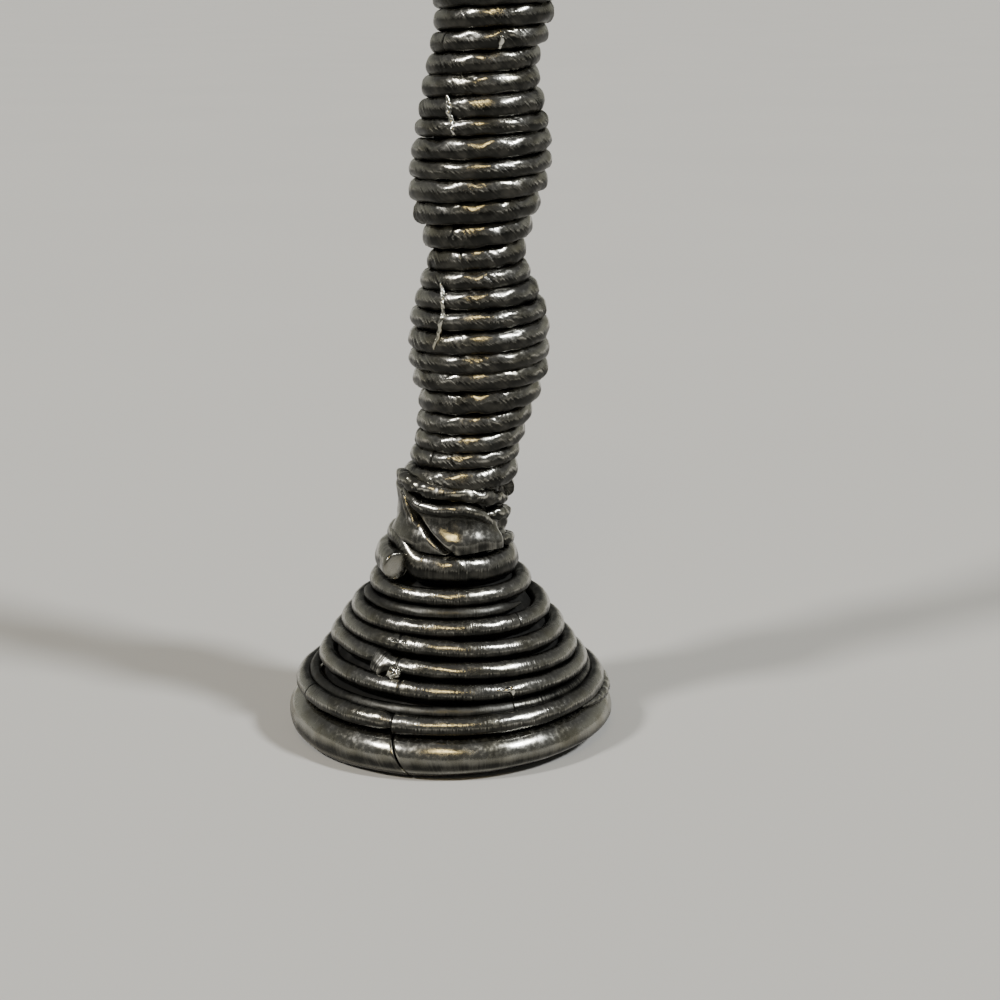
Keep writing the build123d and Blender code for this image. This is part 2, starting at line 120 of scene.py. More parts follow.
def speckle(tree, size, detail=3.0, stretch=(1, 1, 1)):
    """Cloudy noise whose blots are about size metres across, in the object's own coordinates."""
    place = tree.node("ShaderNodeTexCoord", output=3)
    placed = tree.node("ShaderNodeMapping", {}, {"Vector": place, "Scale": stretch})
    return tree.node("ShaderNodeTexNoise", {}, {"Vector": placed, "Scale": 1 / size, "Detail": detail})


def show(tree, inputs, bump=None, bump_depth=0.0001, bump_strength=1.0):
    """Ends a finish in one Principled shader, with an optional bump of bump_depth metres."""
    inputs = dict(inputs)
    if bump is not None:
        inputs["Normal"] = tree.node(
            "ShaderNodeBump",
            {},
            {"Strength": bump_strength, "Distance": bump_depth, "Height": bump},
        )
    shader = tree.node("ShaderNodeBsdfPrincipled", {}, inputs)
    tree.node("ShaderNodeOutputMaterial", {}, {"Surface": shader})


def dress(node, material):
    """Gives a CAD node's object its finish."""
    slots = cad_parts[node].data.materials
    slots.clear()
    slots.append(material)


CORE_BLACK = (0.010, 0.010, 0.009, 1)
CORE_GREY = (0.028, 0.027, 0.025, 1)

core_black, tree = new_finish("core_black")
blots = speckle(tree, 0.004)
show(
    tree,
    {
        "Base Color": blots.between(0.45, 0.75).colours(CORE_BLACK, CORE_GREY),
        "Roughness": blots.between(0.3, 0.7, 0.85, 0.6),
        "Specular IOR Level": 0.2,
    },
    bump=speckle(tree, 0.0006),
    bump_depth=0.00004,
)
dress("base_core", core_black)
dress("stem_core", core_black)

# The foot ring
# A thick bar bent round to a ring, its two ends butted at the front left and filed flat underneath.
# It is the most handled piece, so its top is rubbed bright and its bottom edge scuffed; from its middle down
# it is painted darker, as painted shade.
MM = 0.001
SECTION_SIDES = 24
ROW_STEP = 0.27  # along a wire
CAP_SHRINK = np.array([0.985, 0.93, 0.8, 0.5, 0.15])
CAP_LIFT = np.array([0.06, 0.14, 0.21, 0.25, 0.26])
CAP_PROUD = 0.55  # a wire's end counts as this far from its groove
CREST_ROWS = 4
CREST_RUB = 2.2  # how much more is rubbed off a crest, for each mm of its height
NICK_WIDTH = 0.17
NICK_DARK = 1.2  # how far a nick counts as back in the groove
NICK_SHARE = 0.10  # of the wire's half thickness that a nick takes away


def around(radius, turns, height, lean=0.0):
    """Points at a radius and a height about an upright axis at x = lean, by turns from the front to the
    right."""
    angle = 2 * np.pi * np.asarray(turns, float)
    x = lean + radius * np.sin(angle)
    y = -radius * np.cos(angle)
    return np.stack(np.broadcast_arrays(x, y, height), -1)


def drift(distance, wavelength, seed):
    """A smooth wave that never repeats, of about unit height: eight sines near one wavelength."""
    chance = np.random.default_rng(seed)
    lengths = wavelength * chance.uniform(0.6, 1.7, 8)
    phases = chance.uniform(0, 2 * np.pi, 8)
    return np.sin(2 * np.pi * np.asarray(distance)[..., None] / lengths + phases).sum(-1) / 2


def flats(distance, angle, wavelength, seed):
    """Shallow flats and swellings over a wire's skin: ten waves that also turn round its section."""
    chance = np.random.default_rng(seed)
    lengths = wavelength * chance.uniform(0.6, 1.7, 10)
    lobes = chance.integers(1, 5, 10) * chance.choice([-1, 1], 10)
    phases = chance.uniform(0, 2 * np.pi, 10)
    waves = 2 * np.pi * distance[..., None] / lengths + angle[..., None] * lobes + phases
    return np.sin(waves).sum(-1) / math.sqrt(5)


def unit(vectors):
    return vectors / np.linalg.norm(vectors, axis=-1, keepdims=True)


def hill(value, middle, width):
    """A smooth hill of height 1 about a middle."""
    return np.exp(-(((value - middle) / width) ** 2))


def make_piece(name, points, faces, marks, material, slot, *nodes):
    """Puts points in millimetres and faces into a smooth mesh with its marks as point attributes."""
    mesh = bpy.data.meshes.new(name)
    mesh.from_pydata((points.reshape(-1, 3) * MM).tolist(), [], faces)
    mesh.polygons.foreach_set("use_smooth", np.ones(len(mesh.polygons), bool))
    for mark, values in marks.items():
        attribute = mesh.attributes.new(mark, "FLOAT", "POINT")
        attribute.data.foreach_set("value", values.ravel().astype(np.float32))
    mesh.materials.append(material)
    piece = bpy.data.objects.new(name + "_skin", mesh)
    bpy.context.scene.collection.objects.link(piece)
    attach(piece, "root")
    if nodes:
        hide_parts(*nodes)
    return piece


def tube_faces(rows, sides, first=0):
    """Quads between neighbouring rows of a tube, and one face that closes each end."""
    row = first + np.arange(rows - 1)[:, None] * sides
    side = np.arange(sides)[None, :]
    after = (side + 1) % sides
    quads = np.stack([row + side, row + sides + side, row + sides + after, row + after], -1)
    start = first + np.arange(sides)
    end = first + (rows - 1) * sides + np.arange(sides)[::-1]
    return quads.reshape(-1, 4).tolist() + [start.tolist(), end.tolist()]


def tube_piece(name, grid, marks, material, slot, *nodes):
    """A piece that is one tube of rows and sides."""
    return make_piece(name, grid, tube_faces(*grid.shape[:2]), marks, material, slot, *nodes)


def row_mean(field, reach):
    """A field averaged over reach rows each way."""
    padded = np.pad(field, ((reach, reach), (0, 0)), mode="edge")
    steps = range(2 * reach + 1)
    return sum(padded[step : step + len(field)] for step in steps) / len(steps)


def nick_depth(nicks, start, end, length, distance, angle):
    """How deep the cuts across a wire are, from 0 to 1: a narrow hill along the wire for each nick, which is
    its turn, its depth and its slant, in mm along the wire from its middle line to its top."""
    depth = 0 * distance * angle
    for turn, deep, slant in nicks:
        away = distance - length * (turn - start) / (end - start) - slant * np.sin(angle)
        depth = depth + deep * hill(away, 0, NICK_WIDTH)
    return depth


def wire_skin(
    place,
    start,
    end,
    half_at,
    tilt=0,
    nicks=(),
    slant=(0, 0),
    sides=SECTION_SIDES,
    step=ROW_STEP,
    facing=None,
    dome=1.0,
    shear=0.0,
):
    """A bent wire as a closed tube. Its rows follow place(turns) from start to end, and each is a section
    of half_at(distance, angle, turns) about that line, its angle counted from outwards over the top.
    tilt is the angle, in degrees, about which the proud mark is highest. Turned up, it leaves the lower side
    painted dark as painted shade. The mark is also raised on crests, which are rubbed, and lowered in nicks.
    slant tilts the cut at each end, in mm along the wire per mm of height, and dome is how round that cut is.
    facing(turns) gives the turn that outwards points to, where place counts something else. shear is how far
    the cross marks lean, in mm along the wire per mm round it. Gives points and marks."""
    rough = np.linspace(start, end, 2000)
    length = np.linalg.norm(np.diff(place(rough), axis=0), axis=1).sum()
    rows = int(length / step) + 2
    turns = np.linspace(start, end, rows)[:, None]
    distance = length * np.linspace(0, 1, rows)[:, None]
    angle = 2 * np.pi * np.arange(sides)[None, :] / sides
    cuts = nick_depth(nicks, start, end, length, distance, angle)
    half = half_at(distance, angle, turns) * (1 - NICK_SHARE * cuts)
    reach = 3 * half.mean()
    near_start = np.clip(1 - distance / reach, 0, 1)
    near_end = np.clip(1 - (length - distance) / reach, 0, 1)
    shift = half * np.sin(angle) * (slant[0] * near_start + slant[1] * near_end)
    turns = turns + shift * (end - start) / length
    tiny = 1e-4
    ahead = unit(place(turns + tiny) - place(turns - tiny))
    outward = around(1.0, facing(turns) if facing else turns, 0.0)
    side = unit(outward - ahead * (outward * ahead).sum(-1, keepdims=True))
    up = np.cross(side, ahead)
    ring = np.cos(angle)[..., None] * side + np.sin(angle)[..., None] * up
    points = place(turns) + half[..., None] * ring
    first, last = points[0], points[-1]
    lift = (CAP_LIFT * dome * half.mean())[:, None, None]
    shrink = CAP_SHRINK[:, None, None]
    back = unit(ahead[0].mean(0))
    on = unit(ahead[-1].mean(0))
    start_cap = first.mean(0) + (first - first.mean(0)) * shrink - back * lift
    end_cap = last.mean(0) + (last - last.mean(0)) * shrink + on * lift
    grid = np.concatenate([start_cap[::-1], points, end_cap])
    caps = len(CAP_SHRINK)
    round_front = (angle + np.pi) % (2 * np.pi) - np.pi
    along = distance + shear * half.mean() * round_front
    crests = half - row_mean(half, CREST_ROWS)
    # The mark is wear and painted shade: rubbed crests and dark nicks are wear, and its turn towards tilt
    # paints the lower side dark as painted shade.
    proud = np.cos(angle - math.radians(tilt)) - NICK_DARK * cuts + CREST_RUB * crests
    face = np.full((caps, sides), CAP_PROUD)
    marks = {
        "along": np.concatenate([along[:1]] * caps + [along] + [along[-1:]] * caps),
        "proud": np.concatenate([face, proud, face]),
    }
    return grid, marks


FOOT_RADIUS = 32.5
FOOT_HEIGHT = 4.5
FOOT_HALF = 5.0
FOOT_THINNED = 0.5  # share of its lower half that is gone at the right
THINNED_AZIMUTH = 62
THINNED_SPREAD = 58
SCUFF_RUB = 0.6  # where it slides over a table
SCUFF_ANGLE = -33
SCUFF_SPREAD = 12
SEAM_TURN = -20 / 360  # where the rings' ends meet
FOOT_SEAM = -16.5 / 360
FOOT_SLIT = 0.32 / (2 * math.pi * FOOT_RADIUS)


def rubbed_and_shaded_wire(
    name, rubbed, rub_from, rub_to, rib, rib_depth, gloss=0.2, dark_gloss=0.36, mottle=1.0, combed=0.3
):
    """Metal with a black patina, rubbed off where the proud mark is high: where it stands proud and, as
    painted shade, on its upper side, which leaves its lower side painted dark.
    The rubbing starts where the mark passes rub_from and is whole at rub_to, along an edge that is ragged by
    mottle;
    rib is the spacing of its fine cross marks in millimetres, and combed is how much patina is left in them."""
    material, tree = new_finish(name)
    proud = tree.node("ShaderNodeAttribute", {"attribute_name": "proud"}, output=2)
    along = tree.node("ShaderNodeAttribute", {"attribute_name": "along"}, output=2)
    blots = speckle(tree, 0.0035, 4.0)
    grain = speckle(tree, 0.0009, 3.0)
    ribs = tree.node(
        "ShaderNodeTexNoise",
        {"noise_dimensions": "1D"},
        {"W": along * (2 / rib), "Scale": 1.0, "Detail": 2.0, "Roughness": 0.6},
    )
    edge = proud + (blots - 0.5) * (0.3 * mottle) + (grain - 0.5) * (0.12 * mottle) + (ribs - 0.5) * combed
    # rub_and_shade is bright rubbed metal where the mark is high, and patina, with painted shade on lower
    # sides, where it is low.
    rub_and_shade = edge.between(rub_from, rub_to)
    stain = speckle(tree, 0.006, 2.0).between(0.42, 0.72)
    bright = stain.colours(rubbed, [c * t for c, t in zip(rubbed, (0.72, 0.70, 0.62, 1))])
    dark = (blots * 0.75 + ribs * 0.25).between(0.42, 0.66).colours(PATINA_AND_SHADE_BLACK, PATINA_AND_SHADE_WORN)
    pits = speckle(tree, 0.0004, 2.0)
    show(
        tree,
        {
            "Base Color": rub_and_shade.colours(dark, bright),
            "Roughness": rub_and_shade.between(0, 1, dark_gloss, gloss) + grain.between(0.35, 0.75, -0.04, 0.10),
            "Metallic": 1.0,
        },
        bump=ribs * 0.6 + grain * 0.4 + pits * 0.12,
        bump_depth=rib_depth * MM,
        bump_strength=0.8,
    )
    return material


# The dark colours are the patina in the hollows and, on the wires' lower sides, painted shade.
PATINA_AND_SHADE_BLACK = (0.024, 0.024, 0.022, 1)
PATINA_AND_SHADE_WORN = (0.062, 0.060, 0.053, 1)
RUBBED_GREY = (0.44, 0.43, 0.39, 1)
DULL_GREY = (0.075, 0.074, 0.068, 1)
FOOT_GREY = (0.50, 0.49, 0.44, 1)

foot_metal = rubbed_and_shaded_wire(
    "foot_metal", FOOT_GREY, 0.5, 1.05, rib=0.9, rib_depth=0.006, dark_gloss=0.3, mottle=0.3, combed=0.05
)


def foot_place(turns):
    """A level circle."""
    return around(FOOT_RADIUS, turns, FOOT_HEIGHT)


def foot_half(distance, angle, turns):
    """A round section with long shallow dents."""
    dents = 0.012 * flats(distance, angle, 26, 11) + 0.006 * drift(distance, 60, 12)
    return FOOT_HALF * (1 - np.abs(dents))


# tilt=50 turns the rubbing upwards, so the foot's lower side is painted dark: painted shade of the floor near
# it.
grid, marks = wire_skin(
    foot_place,
    FOOT_SEAM + FOOT_SLIT,
    FOOT_SEAM + 1 - FOOT_SLIT,
    foot_half,
    tilt=50,
    slant=(-0.45, -0.45),
    sides=56,
    step=0.5,
    dome=0.3,
)
out = np.hypot(grid[..., 0], grid[..., 1]) - FOOT_RADIUS
section_angle = np.degrees(np.arctan2(grid[..., 2] - FOOT_HEIGHT, out))
marks["proud"] += SCUFF_RUB * hill(section_angle, SCUFF_ANGLE, SCUFF_SPREAD)
azimuth = np.degrees(np.arctan2(grid[..., 0], -grid[..., 1]))
under = np.minimum(grid[..., 2] - FOOT_HEIGHT, 0)
grid[..., 2] -= under * FOOT_THINNED * hill(azimuth, THINNED_AZIMUTH, THINNED_SPREAD)
grid[..., 2] = np.maximum(grid[..., 2], 0)
tube_piece("foot_ring", grid, marks, foot_metal, "oxidised_metal", "foot_ring")

# The base ring
# Thinner wire of the same metal, bent to a ring that lies on the foot, a little inside its edge.
# Its two ends are butted close to the foot's, and the left one is rounded off.
WIRE_HALF = 2.025
BASE_RING_RADIUS = 33.575
BASE_RING_HEIGHT = 11.948
RING_NICKS = [(1 - 66 / 360, 0.5, 0.3)]  # turn, depth, slant

wire_metal = rubbed_and_shaded_wire(
    "wire_metal", RUBBED_GREY, 0.62, 0.95, rib=0.75, rib_depth=0.07, gloss=0.18, mottle=0.5, combed=0.45
)


def hand_wound(half, seed, tilt=0.0, wide=1.0, high=1.0, draw_marks=0.010, beaten=0.014):
    """The section of a hand-wound wire: an oval, wide and high by shares of half and tilted back by degrees,
    now thicker and now thinner, with shallow flats and slanting draw marks that turn round it."""

    def half_at(distance, angle, turns):
        square = 2.2  # 2 is an ellipse, and more is flatter faced
        turned = angle - math.radians(tilt)
        sideways = np.abs(np.cos(turned) / wide) ** square
        upwards = np.abs(np.sin(turned) / high) ** square
        oval = (sideways + upwards) ** (-1 / square)
        swell = 0.022 * drift(distance, 40, seed)
        dents = beaten * flats(distance, angle, 7, seed + 1)
        patches = np.clip(0.4 + 0.9 * drift(distance, 13, seed + 3), 0, 1.3)
        draw = patches * np.sin(2 * np.pi * distance / 1.4 + 7 * angle + 2.5 * drift(distance, 7, seed + 2))
        return half * oval * (1 + swell + dents + draw_marks * draw)

    return half_at


def smooth_step(share):
    """A rise from 0 to 1 that starts and ends level."""
    share = np.clip(share, 0, 1)
    return share * share * (3 - 2 * share)


def base_ring_place(turns):
    """A circle that wanders a little, out and up."""
    lift = 0.12 * drift(turns, 0.5, 21)
    return around(BASE_RING_RADIUS + 0.1 * drift(turns, 0.4, 22), turns, BASE_RING_HEIGHT + lift)


def ring_half(distance, angle, turns):
    """The ring's left end is rounded off where it meets its right one."""
    left = SEAM_TURN + 1 - turns
    rounded = 0.32 * (1 - smooth_step(left / RING_ROUNDED))
    return hand_wound(WIRE_HALF, 23, RING_TILT, 0.92, 1.06)(distance, angle, turns) * (1 - rounded)


# RING_TILT turns the section and the rubbing up, so the ring's lower side is painted dark: painted shade
# besides the patina.
RING_TILT = 42
RING_ROUNDED = 3.5 / (2 * math.pi * BASE_RING_RADIUS)
RING_SLIT = 0.3 / (2 * math.pi * BASE_RING_RADIUS)
grid, marks = wire_skin(
    base_ring_place,
    SEAM_TURN + RING_SLIT,
    SEAM_TURN + 1 - RING_SLIT,
    ring_half,
    RING_TILT,
    RING_NICKS,
    slant=(0, -0.2),
)
tube_piece("base_ring", grid, marks, wire_metal, "oxidised_metal", "base_ring")

# The base coil and its fillers
# One length of the same wire climbs the cone in five laps to the neck. Each lap lies level at the front and
# steps up at the back. Thin lengths fill the wedge under its start and the wide step below its last lap.
PITCH = 4.55
BASE_START_TURN = 27 / 360
BASE_COIL_TURNS = 5.45
LAP_RISE = np.array([3.9, 8.5, 13.2, 17.86, 22.41, 30.06])  # each lap's place up the slope
LAP_TILT = np.array([0, 1.7, 2.4, 1.9, 0.3, 0.6])  # how far it dips at the right
STEP_START = 0.3  # turns past the front
STEP_TURNS = 0.4
THIN_START = 50.0  # length of the coil that lies in the groove
BASE_NICKS = [(0.942, 0.9, 0), (1.933, 1, 0), (2.925, 0.8, 0.3), (4.125, 0.9, 0.2)]  # turn, depth, slant
SLOT_TURNS = (1.76, 1.925)  # where a lap is sprung away from the one below
SLOT_LIFT = 0.9
BRIDGE_TURNS = (1.892, 1.922)  # where metal bridges the slot
BRIDGE_REACH = 0.85  # times the wire's half thickness
BRIDGE_RUB = 0.72
GROOVE_SHADE = 0.28  # how much less the coil is rubbed where it lies in the groove
SLOPE_IN = 0.56932
CONE_TILT = 34.7  # of the cone's face, in degrees from upright
# The rubbing is turned up the cone, so the lower sides of the coil and its fillers are painted dark: painted
# shade besides the patina.
RUB_AND_SHADE_TILT = 43
SLOPE_UP = math.sqrt(1 - SLOPE_IN**2)
FILLER_HALF = 1.3
FILLER_OFFSET = 3.825
LOWER_FILLER_TURNS = (-0.32, BASE_START_TURN - 0.002)
UPPER_FILLER_TURNS = (3.76, 4.16)
DRAWN_TURNS = 0.06
SINK = np.array(
    [(11.9, 0), (16.5, 1.3), (25, 0.9), (31, 1.0), (39, 1.4), (43, 1.9), (53, 0.8), (60, 0), (230, 0)]
)  # height, and how far the winding has settled there


def through(stations, values, at):
    """A smooth curve through values at rising stations: cubics whose slopes follow the neighbours."""
    last = len(stations) - 1
    index = np.arange(last + 1)
    before = np.maximum(index - 1, 0)
    after = np.minimum(index + 1, last)
    slopes = (values[after] - values[before]) / (stations[after] - stations[before])
    at = np.clip(at, stations[0], stations[-1])
    low = np.clip(np.searchsorted(stations, at, side="right") - 1, 0, last - 1)
    span = stations[low + 1] - stations[low]
    share = (at - stations[low]) / span
    blend = smooth_step(share)
    leave = slopes[low] * span * share * (1 - share) ** 2
    arrive = slopes[low + 1] * span * share**2 * (1 - share)
    return values[low] * (1 - blend) + values[low + 1] * blend + leave - arrive


def settled(points):
    """Points lowered by what the hand-laid winding has settled at their height."""
    return points - np.array([0, 0, 1]) * through(SINK[:, 0], SINK[:, 1], points[..., 2])[..., None]


def on_cone(slope, turns):
    """A place on the base cone: a distance up its slope from the base ring, at turns from the front."""
    return settled(around(BASE_RING_RADIUS - slope * SLOPE_IN, turns, BASE_RING_HEIGHT + slope * SLOPE_UP))


def base_lap(turns):
    """Which lap the coil is on: whole numbers at the front, with a smooth step between them at the back."""
    lap = np.floor(turns - STEP_START)
    return lap + smooth_step((turns - lap - STEP_START) / STEP_TURNS)


def base_rise(turns):
    """How far up the slope the coil is, on a lap that is a little tilted."""
    lap = base_lap(turns)
    numbers = np.arange(len(LAP_RISE))
    dip = 0.65 * np.sin(2 * np.pi * turns) + 0.35 * (1 - np.cos(2 * np.pi * turns))
    raised = SLOT_LIFT * smooth_step((turns - SLOT_TURNS[0]) / 0.06)
    raised = raised * smooth_step((SLOT_TURNS[1] - turns) / 0.03)
    return np.interp(lap, numbers, LAP_RISE) - np.interp(lap, numbers, LAP_TILT) * dip + raised


def base_place(turns):
    """The coil's line, which wanders a little up and down the slope."""
    return on_cone(base_rise(turns) + 0.1 * drift(turns, 0.45, 31), turns)


def bridged(turns):
    """1 where a lump of metal bridges two laps, at the right of the slot where they are sprung apart."""
    return smooth_step((turns - BRIDGE_TURNS[0]) / 0.007) * smooth_step((BRIDGE_TURNS[1] - turns) / 0.009)


def base_half(distance, angle, turns):
    """The coil starts as thin as the filler that it carries on, and is whole after its first step. At the
    bridge it swells down the slope to the lap below."""
    whole = FILLER_HALF + (WIRE_HALF - FILLER_HALF) * np.clip(base_lap(turns), 0, 1)
    downhill = np.clip(np.cos(angle - math.radians(CONE_TILT - 90)), 0, 1) ** 2
    swollen = 1 + BRIDGE_REACH * bridged(turns) * downhill
    return whole * swollen * hand_wound(1.0, 33, CONE_TILT, 0.88, 1.04)(distance, angle, turns)


def lower_filler_place(turns):
    """A level line where the coil's first lap starts."""
    return on_cone(LAP_RISE[0] + 0 * turns, turns)


def upper_filler_place(turns):
    """A line that keeps one distance above the coil."""
    return on_cone(base_rise(turns) + FILLER_OFFSET, turns)


filler_half = hand_wound(FILLER_HALF, 41, CONE_TILT, 0.86, 1.1)


def upper_filler_half(distance, angle, turns):
    """The upper filler is drawn out to a thin end at the right."""
    drawn = 1 - 0.7 * smooth_step((turns - UPPER_FILLER_TURNS[1]) / DRAWN_TURNS + 1)
    return drawn * filler_half(distance, angle, turns)


dull_metal = rubbed_and_shaded_wire(
    "dull_metal", DULL_GREY, 0.55, 0.9, rib=0.75, rib_depth=0.07, gloss=0.42, mottle=0.5, combed=0.5
)
for name, place, first, last, half_at, finish in [
    ("base_coil", base_place, BASE_START_TURN, BASE_START_TURN + BASE_COIL_TURNS, base_half, wire_metal),
    ("lower_filler", lower_filler_place, *LOWER_FILLER_TURNS, filler_half, dull_metal),
    ("upper_filler", upper_filler_place, *UPPER_FILLER_TURNS, upper_filler_half, dull_metal),
]:
    nicks = BASE_NICKS if name == "base_coil" else ()
    grid, marks = wire_skin(place, first, last, half_at, RUB_AND_SHADE_TILT, nicks)
    if name == "base_coil":
        marks["proud"] -= GROOVE_SHADE * (1 - smooth_step((marks["along"] - THIN_START) / THIN_START))
        row_turns = first + marks["along"] / marks["along"].max() * (last - first)
        marks["proud"] += bridged(row_turns) * (BRIDGE_RUB - marks["proud"])
    tube_piece(name, grid, marks, finish, "oxidised_metal", name)


# The filled groove
# At the right the groove over the foot is filled flush with the same metal, run in hot and dressed with a
# file.
def strand_skin(stations, rough, seed, lean=0.0, sides=20, step=0.25, twist=0.0):
    """A loose length of metal through stations of azimuth, height, radius and half thickness, as a tube
    whose skin is rough by a share of its thickness, and twisted like two strands by another share. The axis
    that it goes round leans by one amount, or by an amount for each station."""
    stations = np.array(stations, float)
    knots = np.linspace(0, 1, len(stations))
    leans = np.broadcast_to(np.asarray(lean, float), knots.shape)

    def place(share):
        azimuth, height, radius = (through(knots, stations[:, column], share) for column in range(3))
        return around(radius, azimuth / 360, height, through(knots, leans, share))

    def facing(share):
        return through(knots, stations[:, 0], share) / 360

    def half_at(distance, angle, share):
        half = through(knots, stations[:, 3], share)
        waves = rough * (flats(distance, angle, 4.0, seed) + 0.4 * flats(distance, angle, 1.6, seed + 1))
        turned = twist * np.cos(2 * angle - 2 * np.pi * distance / (3.2 * stations[:, 3].max()))
        return half * (1 + waves + turned)

    # tilt=56 turns the rubbing upwards, so each strand's lower side is painted dark as painted shade.
    return wire_skin(place, 0.0, 1.0, half_at, tilt=56, sides=sides, step=step, facing=facing)


GROOVE_FILL = [  # azimuth, height, radius and half thickness
    (62, 9.6, 34.0, 0.3),
    (70, 9.5, 34.8, 0.9),
    (78, 9.4, 35.4, 1.35),
    (92, 9.3, 35.5, 1.5),
    (112, 9.4, 35.4, 1.3),
    (126, 9.6, 35.0, 0.5),
]
grid, marks = strand_skin(GROOVE_FILL, 0.03, 251)
tube_piece("groove_fill", grid, marks, foot_metal, "oxidised_metal")

# The shoulder turn
# A single turn of thicker wire closes the top of the cone. Its start comes down over its own tail, which
# springs out at the front left and ends there in a blunt button.
SHOULDER_HALF = 3.4
SHOULDER_RADIUS = 12.31
SHOULDER_HEIGHT = 42.652
SHOULDER_START = -104 / 360
SHOULDER_HIGH = -62 / 360  # up to here it rests on its own tail
SHOULDER_LAID = -24 / 360  # from here it lies level on the cone
SHOULDER_LIFT = 4.4
TAIL_START = 200 / 360
TAIL_END = 317 / 360
TAIL_FLARE = 4.9
BUTTON_ROWS = 14  # of the mesh, at the tail's blunt end
BUTTON_RUB = 0.78

shoulder_metal = rubbed_and_shaded_wire(
    "shoulder_metal", RUBBED_GREY, 0.62, 0.95, rib=0.75, rib_depth=0.04, gloss=0.18, mottle=0.5, combed=0.4
)


def shoulder_place(turns):
    """A turn that comes down from above its own tail, and a tail that springs outwards."""
    lift = SHOULDER_LIFT * (1 - smooth_step((turns - SHOULDER_HIGH) / (SHOULDER_LAID - SHOULDER_HIGH)))
    share = np.clip((turns - TAIL_START) / (TAIL_END - TAIL_START), 0, 1)
    tail = smooth_step(share)
    flare = TAIL_FLARE * (0.45 * tail + 0.55 * share**7)
    dip = 0.7 * np.sin(2 * np.pi * turns) * (1 - tail) - 0.9 * tail
    return settled(around(SHOULDER_RADIUS + flare, turns, SHOULDER_HEIGHT + lift - dip))


def shoulder_half(distance, angle, turns):
    """A hand-wound section, thin where it rests on the tail."""
    thin = 0.42 * (1 - smooth_step((turns - SHOULDER_HIGH) / (SHOULDER_LAID - SHOULDER_HIGH)))
    thin = thin + 0.08 * smooth_step((turns - TAIL_START) * 4)
    return hand_wound(SHOULDER_HALF, 51, 15, 0.97, 1.03)(distance, angle, turns) * (1 - thin)


# tilt=56 turns the rubbing up, so the turn's lower side is painted dark as painted shade.
grid, marks = wire_skin(
    shoulder_place, SHOULDER_START, TAIL_END, shoulder_half, tilt=56, sides=36, dome=0.5
)
button = marks["proud"][-BUTTON_ROWS:]
np.maximum(button, BUTTON_RUB, out=button)
tube_piece("shoulder_turn", grid, marks, shoulder_metal, "oxidised_metal", "shoulder_turn")

# The neck band
# A strip of sheet metal is wrapped round the joint of cone and stem and hammered close. Its lapped end is a
# leaf at the front, its left side stands in slanting folds, and stray ends of wire are caught over it.
BAND_RADIUS = 12.2
BAND_INSIDE = 10.7
BAND_LEAN = 0.6
BAND_BOTTOM = 44.8
BAND_TOP = 58.6
BAND_COLUMNS = 560
BAND_ROWS = 84
LEAF_LIFT = 0.7
LEAF_EDGE = np.array([(-43.5, 54.8), (-3.5, 46.2)])  # azimuth and height along its left edge
FOLD = np.array([(-54, 56.6), (-36, 50.0)])
FLARE = 2.2
LEAF_TOP = np.array([(-90, 57.2), (-42, 56.2), (-24, 55.5), (10, 56.1), (33, 54.0), (50, 51.2), (64, 46.8)])


def softened(field, reach):
    """A field averaged over reach cells each way, up the band and round it."""
    columns = field.shape[1]
    wrapped = np.pad(row_mean(field, reach), ((0, 0), (reach, reach)), mode="wrap")
    steps = range(2 * reach + 1)
    return sum(wrapped[:, step : step + columns] for step in steps) / len(steps)


def ripples(points, size, seed):
    """Waves about size across and of about unit height, in twelve random directions through space."""
    chance = np.random.default_rng(seed)
    ways = unit(chance.normal(size=(12, 3))) * 2 * np.pi / size
    phases = chance.uniform(0, 2 * np.pi, 12)
    return np.sin(points @ ways.T + phases).sum(-1) / math.sqrt(6)


def above_line(line, azimuth, height):
    """How far above a line of two places a spot on the band is, square to the line, in mm."""
    across = np.radians(azimuth - line[0, 0]) * BAND_RADIUS
    run = math.radians(line[1, 0] - line[0, 0]) * BAND_RADIUS
    fall = line[1, 1] - line[0, 1]
    return ((height - line[0, 1]) * run - across * fall) / math.hypot(run, fall)


def band_radius(azimuth, height):
    """The band's outside: a hammered round that flares to the shoulder, with a lapped leaf in front, a
    crack and a fold beside the leaf, and slanting wraps behind."""
    spot = around(BAND_RADIUS, azimuth / 360, height)
    inside = above_line(LEAF_EDGE, azimuth, height)
    below = through(LEAF_TOP[:, 0], LEAF_TOP[:, 1], azimuth) - height
    front = smooth_step((azimuth + 95) / 20) * smooth_step((95 - azimuth) / 20)
    leaf = smooth_step(inside / 0.45 + 0.5) * smooth_step(below / 0.8 + 0.3) * front
    flare = FLARE * smooth_step((52.8 - height) / 6.6) * smooth_step((62 - azimuth) / 14) * front
    crack = -1.4 * hill(inside, -0.6, 0.5) * smooth_step((54.8 - height) / 3) * front
    crease = -0.4 * hill(azimuth, 2, 1.6) * smooth_step((48 - height) / 2.5)
    fold_off = above_line(FOLD, azimuth, height)
    fold_room = smooth_step((height - 49.5) / 2) * smooth_step((58 - height) / 1.5)
    fold = fold_room * (1.2 * hill(fold_off, 0, 0.45) + 0.6 * hill(fold_off, -1.9, 0.7))
    notch = -1.5 * hill(azimuth, 66, 17) * hill(height, 49.3, 1.5)
    slanting = np.sin(9 * np.radians(azimuth) + 1.15 * height + 0.6 * ripples(spot, 14, 201))
    wraps = 0.4 * slanting * (1 - front)
    hammered = 0.08 * ripples(spot, 5, 202) + 0.04 * ripples(spot, 3, 203)
    drop = -1.1 * smooth_step(-below / 0.9) * front
    return BAND_RADIUS + LEAF_LIFT * leaf + flare + crack + crease + fold + notch + wraps + hammered + drop


